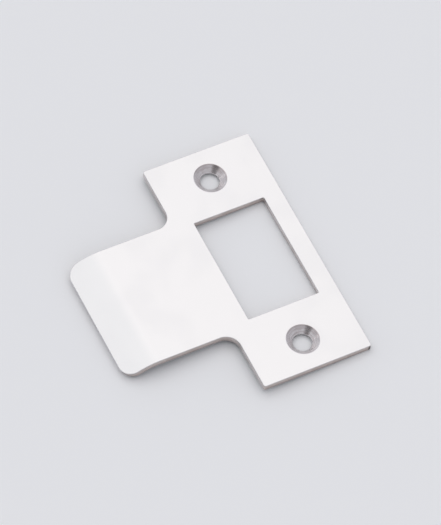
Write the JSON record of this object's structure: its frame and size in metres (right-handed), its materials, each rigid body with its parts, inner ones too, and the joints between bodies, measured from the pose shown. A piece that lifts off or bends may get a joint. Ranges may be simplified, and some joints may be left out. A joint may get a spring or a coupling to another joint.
{
  "type": "door strike plate",
  "caption": "Flat rectangular strike plate with a latch hole, countersunk screw holes and a broad round-cornered lip bent back at its end, which catches and guides a door's spring latch.",
  "frame": {"origin": "midway between the screw holes, on the back of the face plate, in the middle of the latch hole", "axes": "+Z out of the show face, +Y along the plate's length, the lip reaching out along -X"},
  "size_m": [0.0498, 0.057, 0.0039],
  "materials": {
    "plate": "show face polished to a fine soft sheen, punched edges left plain and a little darker"
  },
  "bodies": {
    "root": {"strike_plate": "plate"}
  },
  "joints": []
}
